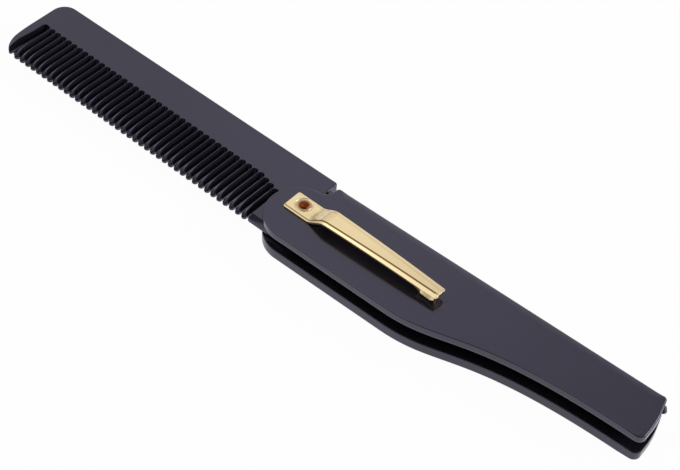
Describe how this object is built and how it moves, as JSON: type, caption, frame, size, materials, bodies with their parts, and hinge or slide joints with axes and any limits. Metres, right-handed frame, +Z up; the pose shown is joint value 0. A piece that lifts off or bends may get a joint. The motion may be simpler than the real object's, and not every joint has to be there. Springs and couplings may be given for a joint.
{
  "type": "folding beard comb",
  "caption": "Slim comb blade that folds on a rivet into the slot of a two-scale handle with a sprung pocket clip.",
  "frame": {"origin": "middle of the open comb's box, on the surface it lies on", "axes": "+X along the handle to its tail, with the blade towards -X; +Y towards the handle's back, away from the teeth; +Z up through the clip"},
  "size_m": [0.1982, 0.0278, 0.0126],
  "materials": {
    "black_plastic": "glossy moulded black",
    "copper": "copper-brown, lightly polished",
    "steel": "plain",
    "pale_nylon": "matt",
    "pale_gold": "pale gold plate, polished"
  },
  "bodies": {
    "handle": {"top_scale": "black_plastic", "bottom_scale": "black_plastic", "spine_strip": "black_plastic", "pivot_rivet": "copper", "rivet_washer": "steel", "upper_friction_washer": "pale_nylon", "lower_friction_washer": "pale_nylon", "clip_plate": "pale_gold"},
    "blade": {"comb_blade": "black_plastic"},
    "clip": {"clip_arm": "pale_gold"}
  },
  "joints": [
    {"name": "blade_fold", "type": "hinge", "parent": "handle", "child": "blade", "pos_m": [-0.00051, -0.00226, 0.0046], "axis": [0, 0, 1], "range_deg": [0, 180]},
    {"name": "clip_flex", "type": "hinge", "parent": "handle", "child": "clip", "pos_m": [0.00313, -0.00283, 0.0095], "axis": [-0.0262, -0.9997, 0], "range_deg": [0, 5], "stiffness_Nm_per_rad": 3}
  ]
}
